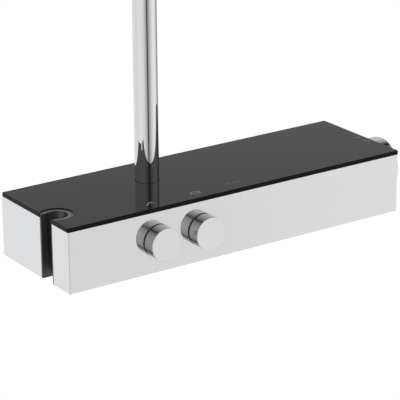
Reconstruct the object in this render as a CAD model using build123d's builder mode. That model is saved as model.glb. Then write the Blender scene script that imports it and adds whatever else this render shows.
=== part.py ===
"""Rainfall shower column: a shelf-type thermostatic mixer on a wall, with a riser, a swivelling
arm and a tilting rain head. Millimetres, +Z up, the wall is the plane Y = 0 and the front faces -Y.
The origin is on the wall, midway between the two water inlets, at the mid-height of the casing."""

import os
from math import cos, radians, sin, sqrt

from build123d import *

# Clearances, and how far a cutting shape runs past the face that it cuts
fit_gap = 0.05
end_gap = 0.1
past = 1.0

# Casing and glass shelf
casing_width = 475.0
casing_depth = 151.0
casing_height = 74.0
casing_wall = 2.0
casing_corner = 1.0
glass_thickness = 5.0
glass_side_overhang = 0.5
glass_wall_gap = 1.5
glass_bevel = 0.5
bond_thickness = 0.3
bond_margin = 3.0
bond_pipe_margin = 1.0

# Hand shower holder: a round channel open through the left end
holder_inset = 14.0
holder_depth = 102.0
channel_radius = 19.5
liner_gap = 0.2
liner_drop = 1.2
holder_top_radius = 13.4
holder_foot_radius = 11.4
holder_slot_half = 11.0
lip_radius = 0.9

# Back plate and its screws
plate_thickness = 1.5
plate_gap = 0.2
plate_tab_width = 24.0
plate_tab_depth = 14.0
plate_tab_spacing = 400.0
union_opening_radius = 20.5
wall_screw_spacing = 360.0
wall_screw_radius = 2.75
casing_screw_radius = 2.0
screw_head_radius = 3.6
screw_head_height = 1.8
screw_gap = 0.05
screw_end = 1.5

# Valve body: a brass bar along X
bar_depth = 81.0
bar_radius = 24.0
bar_gallery_radius = 12.0
bar_left_margin = 43.0
inlet_spacing = 150.0
boss_rise = 7.0
bar_left_wall = 8.0
bar_left_edge = 3.0
shelf_gap = 1.0
saddle_positions = (-15.0, 130.0)
saddle_width = 18.0
saddle_drop = 4.0
saddle_side = 5.0

# Water inlets, G3/4 union nuts
inlet_boss_radius = 15.0
inlet_boss_rise = 15.0
spigot_radius = 9.5
spigot_length = 14.0
spigot_shoulder_radius = 14.0
spigot_shoulder = 4.0
collar_radius = 11.6
collar_length = 3.0
waterway_radius = 7.5
union_thread_radius = 12.06
union_mouth_depth = 12.0
union_mouth_length = 10.6
union_relief = 0.3
union_relief_radius = 12.6
washer_thickness = 2.4
washer_bore = 8.0
union_wall = 3.4
union_hex_radius = 17.3
union_edge = 1.0
check_length = 16.0
check_wall = 1.6
check_seat = 2.0
check_seat_radius = 3.4
poppet_radius = 4.8
poppet_thickness = 1.6
poppet_stem_radius = 1.2
poppet_stem_edge = 0.4
guide_thickness = 2.0
guide_port_radius = 1.5
guide_port_ring = 3.7
guide_ports = 4

# Front knobs and their ceramic cartridges
control_height = 1.7
hand_knob_x = -117.2
rain_knob_x = -55.6
knob_radius = 20.0
knob_face = 17.5
knob_stand_off = 1.8
knob_edge = 0.6
knob_hollow_radius = 16.0
knob_hollow_depth = 6.0
knob_hub_radius = 7.0
spindle_radius = 3.95
spindle_top = 12.9
bush_flange_radius = 19.6
bush_flange = 1.2
bush_radius = 9.9
bush_length = 6.0
cartridge_radius = 12.0
cartridge_depth = 24.0
cartridge_flange_radius = 15.5
cartridge_flange = 4.0
cartridge_neck_radius = 9.0
cartridge_wall = 1.95
knob_boss_radius = 17.0
disc_thickness = 4.0
disc_play = 0.4
disc_web = 1.0
foot_radius = 8.0
foot_thickness = 2.9
nut_wall = 3.0
nut_front = 4.0
nut_reach = 6.0
neck_clear = 1.0
grub_radius = 2.0
grub_length = 7.5
grub_socket = 2.0

# Thermostat on the right end
thermostat_setback = 47.5
thermostat_bore_radius = 18.0
thermostat_bore_depth = 65.0
thermostat_flange_radius = 22.0
thermostat_flange = 4.0
thermostat_neck_radius = 12.0
thermostat_bush_radius = 13.0
thermostat_bush_flange_radius = 33.0
thermostat_nut_grip = 10.0
thermostat_port_radius = 3.0
thermostat_ports = 6
thermostat_port_heights = (6.0, 30.0)
thermostat_chamber_radius = 13.0
stop_ring_radius = 17.0
stop_ring_thickness = 6.0
stop_lug_radius = 2.2
stop_lug_rise = 3.0
temperature_knob_radius = 34.5
temperature_knob_face = 31.5
temperature_knob_wall = 4.0
temperature_knob_edge = 1.2
temperature_hub_radius = 9.0
thermostat_spindle_radius = 4.95
thermostat_spindle_top = 23.9
button_length = 19.0
button_width = 11.0
button_proud = 1.5
button_gap = 0.3
button_lip = 1.6
button_edge = 0.3
button_cut_depth = 9.0
button_centre = 15.0
button_post_radius = 5.0
button_post_top = 17.0
button_spring_radius = 3.2
spring_wire = 0.5
spring_turns = 5
wax_radius = 5.0
piston_radius = 12.9
piston_bore = 8.0
piston_length = 12.0
piston_back = 14.5
piston_web = 3.0
piston_web_height = 4.0
piston_port_radius = 1.1
piston_ports = 4
wax_back = 5.0
wax_front = 3.0
return_spring_radius = 10.4
return_spring_wire = 0.9
return_spring_turns = 3
end_wall = 3.0
spindle_foot = 2.8

# Riser and its wall bracket
riser_x = -75.1
riser_depth = 62.9
riser_radius = 14.5
riser_wall = 1.2
riser_top = 1040.0
riser_boss_radius = 19.0
riser_insert = 22.0
riser_end_gap = 0.2
ring_section = 0.9
ring_shares = (0.3, 0.65)
riser_seal_width = 0.6
bracket_height = 985.0
bracket_plate_radius = 21.0
bracket_plate_thickness = 4.0
bracket_screw_spacing = 28.0
bracket_screw_radius = 2.25
rosette_radius = 27.0
rosette_depth = 12.0
rosette_wall = 1.5
post_radius = 9.0
clamp_radius = 20.0
clamp_height = 30.0
clamp_edge = 1.0

# Shower arm, its swivel and the rain head
housing_radius = 18.0
housing_overlap = 20.0
housing_height = 46.0
housing_edge = 1.0
housing_floor = 3.0
arm_radius = 10.0
arm_wall = 1.2
arm_reach = 400.0
arm_rise = 110.0
arm_drop = 60.0
arm_bend = 38.0
arm_collar_radius = 13.0
arm_collar = 4.0
retainer_height = 8.0
retainer_edge = 1.5
socket_radius = 13.5
socket_overlap = 14.0
socket_shoulder = 6.0
socket_edge = 1.0
ball_radius = 11.0
ball_neck_radius = 6.0
ball_neck_length = 20.0
ball_bore = 3.5
seat_thickness = 1.6
seat_half_height = 4.5
seat_gap = 0.1
collar_nut_wall = 2.5
collar_nut_top = 10.5
collar_nut_opening = 11.0
collar_nut_skirt = 6.0
collar_nut_edge = 0.8
head_radius = 150.0
head_thickness = 10.0
head_skin = 1.5
head_inlet_radius = 4.5
head_boss_radius = 16.0
head_boss_height = 16.0
head_edge = 0.8
spray_plate_thickness = 2.0
nozzle_sheet_thickness = 2.0
nozzle_radius = 1.6
nozzle_proud = 1.8
nozzle_rings = 7
nozzle_pitch = 18.5

# Hose outlet under the casing, G1/2
hose_outlet_radius = 10.48
hose_outlet_proud = 13.0
hose_spigot_radius = 9.0
hose_boss_radius = 14.0
hose_bore_radius = 6.5
hose_shoulder_proud = 2.0
hose_spigot_inset = 4.0
hose_thread_edge = 1.0

# Hexagons, as shares of what they turn
cartridge_hex = 1.1
thermostat_hex = 1.16

# Worked out from the values above
casing_top = casing_height / 2
casing_bottom = -casing_height / 2
inner_top = casing_top - casing_wall
inner_bottom = casing_bottom + casing_wall
bond_top = casing_top + bond_thickness
glass_top = bond_top + glass_thickness
left_end = -casing_width / 2
right_end = casing_width / 2
holder_x = left_end + holder_inset
bar_left = hand_knob_x - bar_left_margin
bar_right = right_end - thermostat_setback
boss_front = -(casing_depth - bar_depth - bar_radius - boss_rise)
inlet_boss_end = bar_depth - bar_radius - inlet_boss_rise
disc_radius = cartridge_radius - cartridge_wall - fit_gap
riser_socket_foot = inner_top - shelf_gap - riser_insert
riser_tube_foot = riser_socket_foot + riser_end_gap
riser_hole_radius = riser_radius + riser_seal_width


def forward_plane(origin):
    """A plane whose normal points forwards, away from the wall."""
    return Plane(origin=origin, x_dir=(1, 0, 0), z_dir=(0, -1, 0))


knob_planes = {
    "hand": forward_plane((hand_knob_x, -casing_depth, control_height)),
    "rain": forward_plane((rain_knob_x, -casing_depth, control_height)),
}
inlet_planes = {
    "cold": forward_plane((inlet_spacing / 2, 0, 0)),
    "hot": forward_plane((-inlet_spacing / 2, 0, 0)),
}
bar_plane = Plane(origin=(0, -bar_depth, 0), x_dir=(0, -1, 0), z_dir=(1, 0, 0))
thermostat_plane = Plane(origin=(right_end, -bar_depth, 0), x_dir=(0, -1, 0), z_dir=(1, 0, 0))
riser_plane = Plane(origin=(riser_x, -riser_depth, 0), x_dir=(1, 0, 0), z_dir=(0, 0, 1))
hose_plane = Plane(origin=(hand_knob_x, -bar_depth, 0), x_dir=(1, 0, 0), z_dir=(0, 0, -1))
holder_plane = Plane(origin=(holder_x, -holder_depth, 0), x_dir=(1, 0, 0), z_dir=(0, 0, 1))
bracket_plane = forward_plane((riser_x, 0, bracket_height))

os.makedirs("parts", exist_ok=True)


def turn(plane, profile, mode=Mode.ADD):
    """Revolves a closed outline of (radius, height) points about the plane's normal."""
    section = Plane(origin=plane.origin, x_dir=plane.x_dir, z_dir=-plane.y_dir)
    with BuildSketch(section) as outline:
        with BuildLine():
            Polyline(*profile, close=True)
        make_face()
    revolve(outline.sketch, axis=Axis(plane.origin, plane.z_dir), mode=mode)


def tube(plane, outer, inner, low, high, mode=Mode.ADD):
    """A ring of rectangular section between two heights on the plane's axis."""
    turn(plane, [(inner, low), (outer, low), (outer, high), (inner, high)], mode)


def rod(plane, radius, low, high, mode=Mode.ADD):
    """A plain cylinder between two heights on the plane's axis."""
    tube(plane, radius, 0, low, high, mode)


def side_plane(plane, height, direction):
    """A plane on the axis at a height, whose normal is the given sideways direction."""
    centre = plane.origin + plane.z_dir * height
    return Plane(origin=centre, x_dir=plane.z_dir, z_dir=direction)


def ring_heights(foot, length):
    """Heights of a pair of O-rings along a socket."""
    return [foot + share * length for share in ring_shares]


def finish(piece, name):
    """Labels a finished piece and writes it."""
    piece.part.label = name
    export_step(piece.part, f"parts/{name}.step")


# Casing: a chrome shell, open at the back, with a round channel through its left end
with BuildPart() as casing:
    with BuildSketch(Plane.XY.offset(casing_bottom)):
        with Locations((0, -casing_depth / 2)):
            Rectangle(casing_width, casing_depth)
    extrude(amount=casing_height)
    fillet(casing.edges().filter_by(Axis.Z).group_by(Axis.Y)[0], casing_corner)
    with BuildSketch(Plane.XY.offset(inner_bottom)):
        with Locations((0, (casing_wall - casing_depth) / 2)):
            Rectangle(casing_width - 2 * casing_wall, casing_depth - casing_wall)
    extrude(amount=casing_height - 2 * casing_wall, mode=Mode.SUBTRACT)
    rod(holder_plane, channel_radius, casing_bottom - past, casing_top + past, Mode.SUBTRACT)
    for knob_plane in knob_planes.values():
        rod(knob_plane, bush_radius + fit_gap, -casing_wall - past, past, Mode.SUBTRACT)
    rod(thermostat_plane, thermostat_bush_radius + fit_gap, -casing_wall - past, past, Mode.SUBTRACT)
    rod(riser_plane, riser_hole_radius, inner_top - past, casing_top + past, Mode.SUBTRACT)
    rod(hose_plane, hose_boss_radius, -inner_bottom - past, past - casing_bottom, Mode.SUBTRACT)
    with Locations((0, -plate_thickness - plate_tab_depth / 2, casing_bottom)):
        with GridLocations(plate_tab_spacing, 1, 2, 1):
            Cylinder(casing_screw_radius + screw_gap, 3 * casing_wall, mode=Mode.SUBTRACT)
finish(casing, "casing")

# Bond line and glass shelf, both cut out for the holder and the riser
with BuildPart() as glass_bond:
    with BuildSketch(Plane.XY.offset(casing_top)):
        with Locations((0, -(casing_depth + glass_wall_gap) / 2)):
            Rectangle(casing_width - 2 * bond_margin, casing_depth - glass_wall_gap - 2 * bond_margin)
    extrude(amount=bond_thickness)
    rod(holder_plane, channel_radius + bond_margin, casing_top - past, bond_top + past, Mode.SUBTRACT)
    rod(
        riser_plane,
        riser_hole_radius + bond_pipe_margin,
        casing_top - past,
        bond_top + past,
        Mode.SUBTRACT,
    )
finish(glass_bond, "glass_bond")

with BuildPart() as glass_shelf:
    with BuildSketch(Plane.XY.offset(bond_top)):
        with Locations((0, -(casing_depth + glass_wall_gap) / 2)):
            Rectangle(casing_width + 2 * glass_side_overhang, casing_depth - glass_wall_gap)
    extrude(amount=glass_thickness)
    fillet(glass_shelf.edges().filter_by(Axis.Z), casing_corner)
    rod(holder_plane, channel_radius, bond_top - past, glass_top + past, Mode.SUBTRACT)
    chamfer(glass_shelf.faces().sort_by(Axis.Z)[-1].outer_wire().edges(), glass_bevel)
    rod(riser_plane, riser_hole_radius, bond_top - past, glass_top + past, Mode.SUBTRACT)
finish(glass_shelf, "glass_shelf")

# Holder liner: a moulded channel with a tapered seat for the hand shower and a slot for its hose
with BuildPart() as holder_liner:
    rod(holder_plane, channel_radius - liner_gap, casing_bottom, glass_top - liner_drop)
    turn(
        holder_plane,
        [
            (0, casing_bottom),
            (holder_foot_radius, casing_bottom),
            (holder_top_radius, glass_top - liner_drop),
            (0, glass_top - liner_drop),
        ],
        Mode.SUBTRACT,
    )
    with BuildSketch(Plane.XY.offset(casing_bottom)):
        with Locations((holder_x - channel_radius / 2, -holder_depth)):
            Rectangle(channel_radius, 2 * holder_slot_half)
    extrude(amount=casing_height + glass_thickness + bond_thickness, mode=Mode.SUBTRACT)
    split(bisect_by=Plane(origin=(left_end, 0, 0), z_dir=(1, 0, 0)), keep=Keep.TOP)
    lips = holder_liner.edges().filter_by(Axis.Z).group_by(Axis.X)[0]
    fillet(lips.sort_by(lambda edge: abs(edge.center().Y + holder_depth))[:2], lip_radius)
finish(holder_liner, "holder_liner")

# Back plate, screwed to the wall, with two tabs that carry the casing
with BuildPart() as back_plate:
    with BuildSketch(Plane.XZ):
        Rectangle(
            casing_width - 2 * (casing_wall + plate_gap),
            casing_height - 2 * (casing_wall + plate_gap),
        )
        with GridLocations(inlet_spacing, 1, 2, 1):
            Circle(union_opening_radius, mode=Mode.SUBTRACT)
        with GridLocations(wall_screw_spacing, 1, 2, 1):
            Circle(wall_screw_radius, mode=Mode.SUBTRACT)
    extrude(amount=plate_thickness)
    with BuildSketch(Plane.XY.offset(inner_bottom + plate_gap)):
        with Locations((0, -(plate_thickness + plate_tab_depth) / 2)):
            with GridLocations(plate_tab_spacing, 1, 2, 1):
                Rectangle(plate_tab_width, plate_thickness + plate_tab_depth)
        with Locations((0, -plate_thickness - plate_tab_depth / 2)):
            with GridLocations(plate_tab_spacing, 1, 2, 1):
                Circle(casing_screw_radius + screw_gap, mode=Mode.SUBTRACT)
    extrude(amount=plate_thickness)
finish(back_plate, "back_plate")

with BuildPart() as casing_screws:
    for side in (-1, 1):
        screw_plane = Plane(
            origin=(side * plate_tab_spacing / 2, -plate_thickness - plate_tab_depth / 2, casing_bottom),
            x_dir=(1, 0, 0),
            z_dir=(0, 0, 1),
        )
        shank_end = casing_wall + plate_gap + plate_thickness + screw_end
        rod(screw_plane, casing_screw_radius, 0, shank_end)
        rod(screw_plane, screw_head_radius, -screw_head_height, 0)
        rod(screw_plane, casing_screw_radius / 2, -screw_head_height, 0, Mode.SUBTRACT)
finish(casing_screws, "casing_screws")

# Valve body: one casting with bosses for the inlets, knobs, riser, hose outlet and thermostat
with BuildPart() as valve_body:
    rod(bar_plane, bar_radius, bar_left, bar_right)
    fillet(valve_body.edges().filter_by(GeomType.CIRCLE).group_by(Axis.X)[0], bar_left_edge)
    for inlet_plane in inlet_planes.values():
        rod(inlet_plane, inlet_boss_radius, inlet_boss_end, bar_depth)
    for knob_plane in knob_planes.values():
        rod(knob_plane, knob_boss_radius, boss_front - cartridge_depth, boss_front)
    rod(riser_plane, riser_boss_radius, 0, inner_top - shelf_gap)
    rod(hose_plane, hose_boss_radius - shelf_gap, 0, -inner_bottom - shelf_gap)
    rod(bar_plane, bar_gallery_radius, bar_left + bar_left_wall, bar_right, Mode.SUBTRACT)
    rod(
        bar_plane,
        thermostat_bore_radius + fit_gap,
        bar_right - thermostat_bore_depth,
        bar_right + past,
        Mode.SUBTRACT,
    )
    for inlet_plane in inlet_planes.values():
        rod(
            inlet_plane,
            spigot_radius + fit_gap,
            inlet_boss_end - past,
            inlet_boss_end + spigot_length,
            Mode.SUBTRACT,
        )
        rod(inlet_plane, waterway_radius, inlet_boss_end, bar_depth, Mode.SUBTRACT)
    for knob_plane in knob_planes.values():
        rod(
            knob_plane,
            cartridge_radius + fit_gap,
            boss_front - cartridge_depth,
            boss_front + past,
            Mode.SUBTRACT,
        )
    rod(riser_plane, riser_radius + fit_gap, riser_socket_foot, inner_top, Mode.SUBTRACT)
    for height in ring_heights(riser_socket_foot, riser_insert):
        tube(
            riser_plane,
            riser_radius + 2 * ring_section + fit_gap,
            riser_radius,
            height - ring_section - fit_gap,
            height + ring_section + fit_gap,
            Mode.SUBTRACT,
        )
    rod(riser_plane, waterway_radius, 0, riser_socket_foot + past, Mode.SUBTRACT)
    rod(hose_plane, hose_spigot_radius + fit_gap, bar_gallery_radius, -casing_bottom, Mode.SUBTRACT)
finish(valve_body, "valve_body")

# Two saddles hold the bar on the casing floor
with BuildPart() as bar_saddles:
    with BuildSketch(Plane.XY.offset(inner_bottom)):
        with Locations(*[(saddle_x, -bar_depth) for saddle_x in saddle_positions]):
            Rectangle(saddle_width, 2 * (bar_radius + saddle_side))
    extrude(amount=-inner_bottom - saddle_drop)
    rod(bar_plane, bar_radius + 2 * fit_gap, bar_left, bar_right, Mode.SUBTRACT)
finish(bar_saddles, "bar_saddles")

# Inlets: nipple, union nut, check valve
for name, inlet_plane in inlet_planes.items():
    shoulder_end = inlet_boss_end - spigot_shoulder
    collar_end = union_mouth_depth + union_mouth_length + washer_thickness
    collar_back = collar_end + collar_length
    spigot_end = inlet_boss_end + spigot_length
    with BuildPart() as inlet_nipple:
        rod(inlet_plane, spigot_radius, collar_end, spigot_end)
        rod(inlet_plane, collar_radius, collar_end, collar_back)
        with BuildSketch(inlet_plane.offset(shoulder_end)):
            RegularPolygon(spigot_shoulder_radius, 6)
        extrude(amount=spigot_shoulder)
        rod(inlet_plane, waterway_radius, collar_end - past, spigot_end + past, Mode.SUBTRACT)
    finish(inlet_nipple, f"{name}_inlet_nipple")

    with BuildPart() as union_nut:
        with BuildSketch(inlet_plane.offset(union_mouth_depth)):
            RegularPolygon(union_hex_radius, 6)
        extrude(amount=collar_back + union_wall - union_mouth_depth)
        chamfer(union_nut.faces().sort_by(Axis.Y)[-1].outer_wire().edges(), union_edge)
        relief_start = union_mouth_depth + union_mouth_length - union_relief
        thread_ends = (union_mouth_depth - past, relief_start)
        rod(inlet_plane, union_thread_radius, *thread_ends, Mode.SUBTRACT)
        rod(inlet_plane, union_relief_radius, relief_start, collar_back, Mode.SUBTRACT)
        rod(inlet_plane, spigot_radius + 2 * fit_gap, collar_back - past, bar_depth, Mode.SUBTRACT)
    finish(union_nut, f"{name}_union_nut")

    check_end = collar_end + check_length
    check_outer = waterway_radius - fit_gap
    guide_foot = check_end - guide_thickness
    with BuildPart() as check_valve:
        tube(inlet_plane, check_outer, waterway_radius - check_wall, collar_end, check_end)
        tube(inlet_plane, check_outer, check_seat_radius, collar_end, collar_end + check_seat)
        tube(inlet_plane, check_outer, poppet_stem_radius + end_gap, guide_foot, check_end)
        with BuildSketch(inlet_plane.offset(guide_foot)):
            with PolarLocations(guide_port_ring, guide_ports):
                Circle(guide_port_radius)
        extrude(amount=guide_thickness, mode=Mode.SUBTRACT)
    finish(check_valve, f"{name}_check_valve")

    poppet_back = collar_end + check_seat + fit_gap
    with BuildPart() as check_poppet:
        rod(inlet_plane, poppet_radius, poppet_back, poppet_back + poppet_thickness)
        rod(inlet_plane, poppet_stem_radius, poppet_back, check_end)
        chamfer(check_poppet.edges().group_by(Axis.Y)[-1], poppet_stem_edge)
    finish(check_poppet, f"{name}_check_poppet")

with BuildPart() as inlet_washers:
    for inlet_plane in inlet_planes.values():
        washer_end = union_mouth_depth + union_mouth_length
        tube(inlet_plane, collar_radius, washer_bore, washer_end, washer_end + washer_thickness)
finish(inlet_washers, "inlet_washers")

# Hose outlet nipple, G1/2, below the casing
with BuildPart() as hose_outlet_nipple:
    shoulder = -inner_bottom - shelf_gap
    thread_start = hose_shoulder_proud - casing_bottom
    thread_end = thread_start + hose_outlet_proud
    rod(hose_plane, hose_spigot_radius, bar_gallery_radius + hose_spigot_inset, shoulder)
    rod(hose_plane, hose_boss_radius - shelf_gap, shoulder, thread_start)
    rod(hose_plane, hose_outlet_radius, thread_start, thread_end)
    thread_edges = hose_outlet_nipple.edges().filter_by(GeomType.CIRCLE).group_by(Axis.Z)[0]
    chamfer(thread_edges, hose_thread_edge)
    rod(hose_plane, hose_bore_radius, 0, thread_end + past, Mode.SUBTRACT)
finish(hose_outlet_nipple, "hose_outlet_nipple")

# Front knobs: cartridge, discs, spindle, nut, bush, knob and grub screw
cartridge_foot = boss_front - cartridge_depth
moving_disc_foot = cartridge_foot + disc_thickness
foot_low = moving_disc_foot + disc_thickness
cavity_top = foot_low + foot_thickness + end_gap
neck_end = -bush_length - casing_wall - neck_clear
grub_height = (knob_stand_off + knob_hollow_depth + spindle_top) / 2
for name, knob_plane in knob_planes.items():
    with BuildPart() as fixed_disc:
        rod(knob_plane, disc_radius, cartridge_foot, moving_disc_foot)
        for side in (-1, 1):
            port_centre = knob_plane.origin + knob_plane.x_dir * side * disc_radius / 2
            port_plane = knob_plane.shift_origin(port_centre)
            port_ends = (cartridge_foot - past, moving_disc_foot + past)
            rod(port_plane, disc_radius / 4, *port_ends, Mode.SUBTRACT)
    finish(fixed_disc, f"{name}_fixed_disc")

    with BuildPart() as moving_disc:
        rod(knob_plane, disc_radius - disc_play, moving_disc_foot, foot_low)
        rod(knob_plane, disc_radius / 3, moving_disc_foot - past, foot_low - disc_web, Mode.SUBTRACT)
    finish(moving_disc, f"{name}_moving_disc")

    with BuildPart() as cartridge:
        turn(
            knob_plane,
            [
                (disc_radius + fit_gap, cartridge_foot),
                (cartridge_radius, cartridge_foot),
                (cartridge_radius, boss_front),
                (cartridge_flange_radius, boss_front),
                (cartridge_flange_radius, boss_front + cartridge_flange),
                (cartridge_neck_radius, boss_front + cartridge_flange),
                (cartridge_neck_radius, neck_end),
                (spindle_radius + fit_gap, neck_end),
                (spindle_radius + fit_gap, cavity_top),
                (disc_radius + fit_gap, cavity_top),
            ],
        )
    finish(cartridge, f"{name}_cartridge")

    with BuildPart() as spindle:
        rod(knob_plane, foot_radius, foot_low, foot_low + foot_thickness)
        rod(knob_plane, spindle_radius, foot_low, spindle_top)
    finish(spindle, f"{name}_spindle")

    nut_back = boss_front - nut_reach
    nut_inner = boss_front + cartridge_flange
    with BuildPart() as cartridge_nut:
        with BuildSketch(knob_plane.offset(nut_back)):
            RegularPolygon((knob_boss_radius + nut_wall) * cartridge_hex, 6)
        extrude(amount=nut_inner + nut_front - nut_back)
        rod(knob_plane, knob_boss_radius + fit_gap, nut_back - past, nut_inner, Mode.SUBTRACT)
        rod(knob_plane, cartridge_neck_radius + fit_gap, nut_inner - past, 0, Mode.SUBTRACT)
    finish(cartridge_nut, f"{name}_cartridge_nut")

    with BuildPart() as spindle_bush:
        tube(knob_plane, bush_radius, spindle_radius + fit_gap, -bush_length, bush_flange)
        tube(knob_plane, bush_flange_radius, spindle_radius + fit_gap, 0, bush_flange)
    finish(spindle_bush, f"{name}_spindle_bush")

    hollow_top = knob_stand_off + knob_hollow_depth
    grub_plane = side_plane(knob_plane, grub_height, (0, 0, -1))
    with BuildPart() as knob:
        turn(
            knob_plane,
            [
                (spindle_radius + fit_gap, knob_stand_off),
                (knob_hub_radius, knob_stand_off),
                (knob_hub_radius, hollow_top),
                (knob_hollow_radius, hollow_top),
                (knob_hollow_radius, knob_stand_off),
                (knob_radius, knob_stand_off),
                (knob_radius, knob_face),
                (0, knob_face),
                (0, spindle_top + end_gap),
                (spindle_radius + fit_gap, spindle_top + end_gap),
            ],
        )
        fillet(knob.edges().filter_by(GeomType.CIRCLE).group_by(Axis.Y)[0], knob_edge)
        rod(grub_plane, grub_radius + fit_gap, spindle_radius, knob_radius + past, Mode.SUBTRACT)
    finish(knob, f"{name}_knob")

    with BuildPart() as knob_grub:
        grub_end = spindle_radius + grub_length
        rod(grub_plane, grub_radius, spindle_radius + end_gap, grub_end)
        with BuildSketch(grub_plane.offset(grub_end - grub_socket)):
            RegularPolygon(grub_radius / 2, 6)
        extrude(amount=grub_socket, mode=Mode.SUBTRACT)
    finish(knob_grub, f"{name}_knob_grub")

# Thermostat: cartridge, wax element with its regulating piston, spring, spindle, nut and stop ring
bar_end = -thermostat_setback
bore_foot = bar_end - thermostat_bore_depth
chamber_foot = bore_foot + end_wall
flange_top = bar_end + thermostat_flange
chamber_top = flange_top - thermostat_flange - bar_gallery_radius
thermostat_neck_end = -bush_length - casing_wall - neck_clear
with BuildPart() as thermostat_cartridge:
    turn(
        thermostat_plane,
        [
            (0, bore_foot + fit_gap),
            (thermostat_bore_radius, bore_foot + fit_gap),
            (thermostat_bore_radius, bar_end),
            (thermostat_flange_radius, bar_end),
            (thermostat_flange_radius, flange_top),
            (thermostat_neck_radius, flange_top),
            (thermostat_neck_radius, thermostat_neck_end),
            (thermostat_spindle_radius + fit_gap, thermostat_neck_end),
            (thermostat_spindle_radius + fit_gap, chamber_top),
            (thermostat_chamber_radius, chamber_top),
            (thermostat_chamber_radius, chamber_foot),
            (0, chamber_foot),
        ],
    )
    for port_height in thermostat_port_heights:
        for port in range(thermostat_ports):
            port_angle = radians(port * 360 / thermostat_ports)
            direction = (0, cos(port_angle), sin(port_angle))
            port_plane = side_plane(thermostat_plane, chamber_foot + port_height, direction)
            port_ends = (thermostat_chamber_radius - 2 * past, thermostat_bore_radius + past)
            rod(port_plane, thermostat_port_radius, *port_ends, Mode.SUBTRACT)
finish(thermostat_cartridge, "thermostat_cartridge")

piston_foot = chamber_foot + piston_back
wax_top = chamber_top - spindle_foot - fit_gap - wax_front
web_foot = piston_foot + piston_web_height
with BuildPart() as regulating_piston:
    rod(thermostat_plane, wax_radius, chamber_foot + wax_back, wax_top)
    tube(thermostat_plane, piston_radius, piston_bore, piston_foot, piston_foot + piston_length)
    tube(thermostat_plane, piston_bore + past, wax_radius - past, web_foot, web_foot + piston_web)
    with BuildSketch(thermostat_plane.offset(web_foot)):
        with PolarLocations((wax_radius + piston_bore) / 2, piston_ports):
            Circle(piston_port_radius)
    extrude(amount=piston_web, mode=Mode.SUBTRACT)
finish(regulating_piston, "regulating_piston")


def coil(plane, radius, wire, turns, low, high):
    """A round-wire compression spring between two heights on the plane's axis."""
    start = plane.origin + plane.z_dir * (low + wire)
    height = high - low - 2 * wire
    with BuildLine() as wire_line:
        Helix(height / turns, height, radius, center=start, direction=plane.z_dir)
    with BuildSketch(Plane(origin=wire_line.line @ 0, z_dir=wire_line.line % 0)) as wire_face:
        Circle(wire)
    sweep(wire_face.sketch, path=wire_line.line)


with BuildPart() as return_spring:
    coil(
        thermostat_plane,
        return_spring_radius,
        return_spring_wire,
        return_spring_turns,
        chamber_foot + fit_gap,
        piston_foot - fit_gap,
    )
finish(return_spring, "return_spring")

with BuildPart() as thermostat_spindle:
    rod(thermostat_plane, piston_bore, chamber_top - spindle_foot - fit_gap, chamber_top - fit_gap)
    rod(
        thermostat_plane,
        thermostat_spindle_radius,
        chamber_top - spindle_foot - fit_gap,
        thermostat_spindle_top,
    )
finish(thermostat_spindle, "thermostat_spindle")

with BuildPart() as thermostat_nut:
    grip_end = bar_end - thermostat_nut_grip
    with BuildSketch(thermostat_plane.offset(grip_end)):
        RegularPolygon((bar_radius + nut_wall) * thermostat_hex, 6)
    extrude(amount=thermostat_nut_grip + thermostat_flange + nut_front)
    rod(thermostat_plane, bar_radius + fit_gap, grip_end - past, flange_top, Mode.SUBTRACT)
    rod(thermostat_plane, thermostat_neck_radius + fit_gap, flange_top - past, 0, Mode.SUBTRACT)
finish(thermostat_nut, "thermostat_nut")

with BuildPart() as stop_ring:
    stop_foot = (flange_top + nut_front + thermostat_neck_end) / 2 - stop_ring_thickness / 2
    tube(
        thermostat_plane,
        stop_ring_radius,
        thermostat_neck_radius + fit_gap,
        stop_foot,
        stop_foot + stop_ring_thickness,
    )
    stop_plane = side_plane(thermostat_plane, stop_foot + stop_ring_thickness / 2, (0, 0, 1))
    rod(stop_plane, stop_lug_radius, stop_ring_radius - 2 * past, stop_ring_radius + stop_lug_rise)
finish(stop_ring, "stop_ring")

spindle_clear = thermostat_spindle_radius + fit_gap
with BuildPart() as thermostat_bush:
    tube(thermostat_plane, thermostat_bush_radius, spindle_clear, -bush_length, bush_flange)
    tube(thermostat_plane, thermostat_bush_flange_radius, spindle_clear, 0, bush_flange)
finish(thermostat_bush, "thermostat_bush")

# Temperature knob with its sprung safety button on top
hollow_radius = temperature_knob_radius - temperature_knob_wall
hollow_top = temperature_knob_face - temperature_knob_wall
button_plane = side_plane(thermostat_plane, button_centre, (0, 0, 1))
with BuildPart() as temperature_knob:
    turn(
        thermostat_plane,
        [
            (spindle_clear, knob_stand_off),
            (temperature_hub_radius, knob_stand_off),
            (temperature_hub_radius, hollow_top),
            (hollow_radius, hollow_top),
            (hollow_radius, knob_stand_off),
            (temperature_knob_radius, knob_stand_off),
            (temperature_knob_radius, temperature_knob_face),
            (0, temperature_knob_face),
            (0, thermostat_spindle_top + end_gap),
            (spindle_clear, thermostat_spindle_top + end_gap),
        ],
    )
    fillet(
        temperature_knob.edges().filter_by(GeomType.CIRCLE).group_by(Axis.X)[-1],
        temperature_knob_edge,
    )
    rod(button_plane, button_post_radius, temperature_hub_radius - past, button_post_top)
    with BuildSketch(button_plane.offset(temperature_knob_radius + past - button_cut_depth)):
        Rectangle(button_length + 2 * button_gap, button_width + 2 * button_gap)
    extrude(amount=button_cut_depth, mode=Mode.SUBTRACT)
finish(temperature_knob, "temperature_knob")

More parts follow.
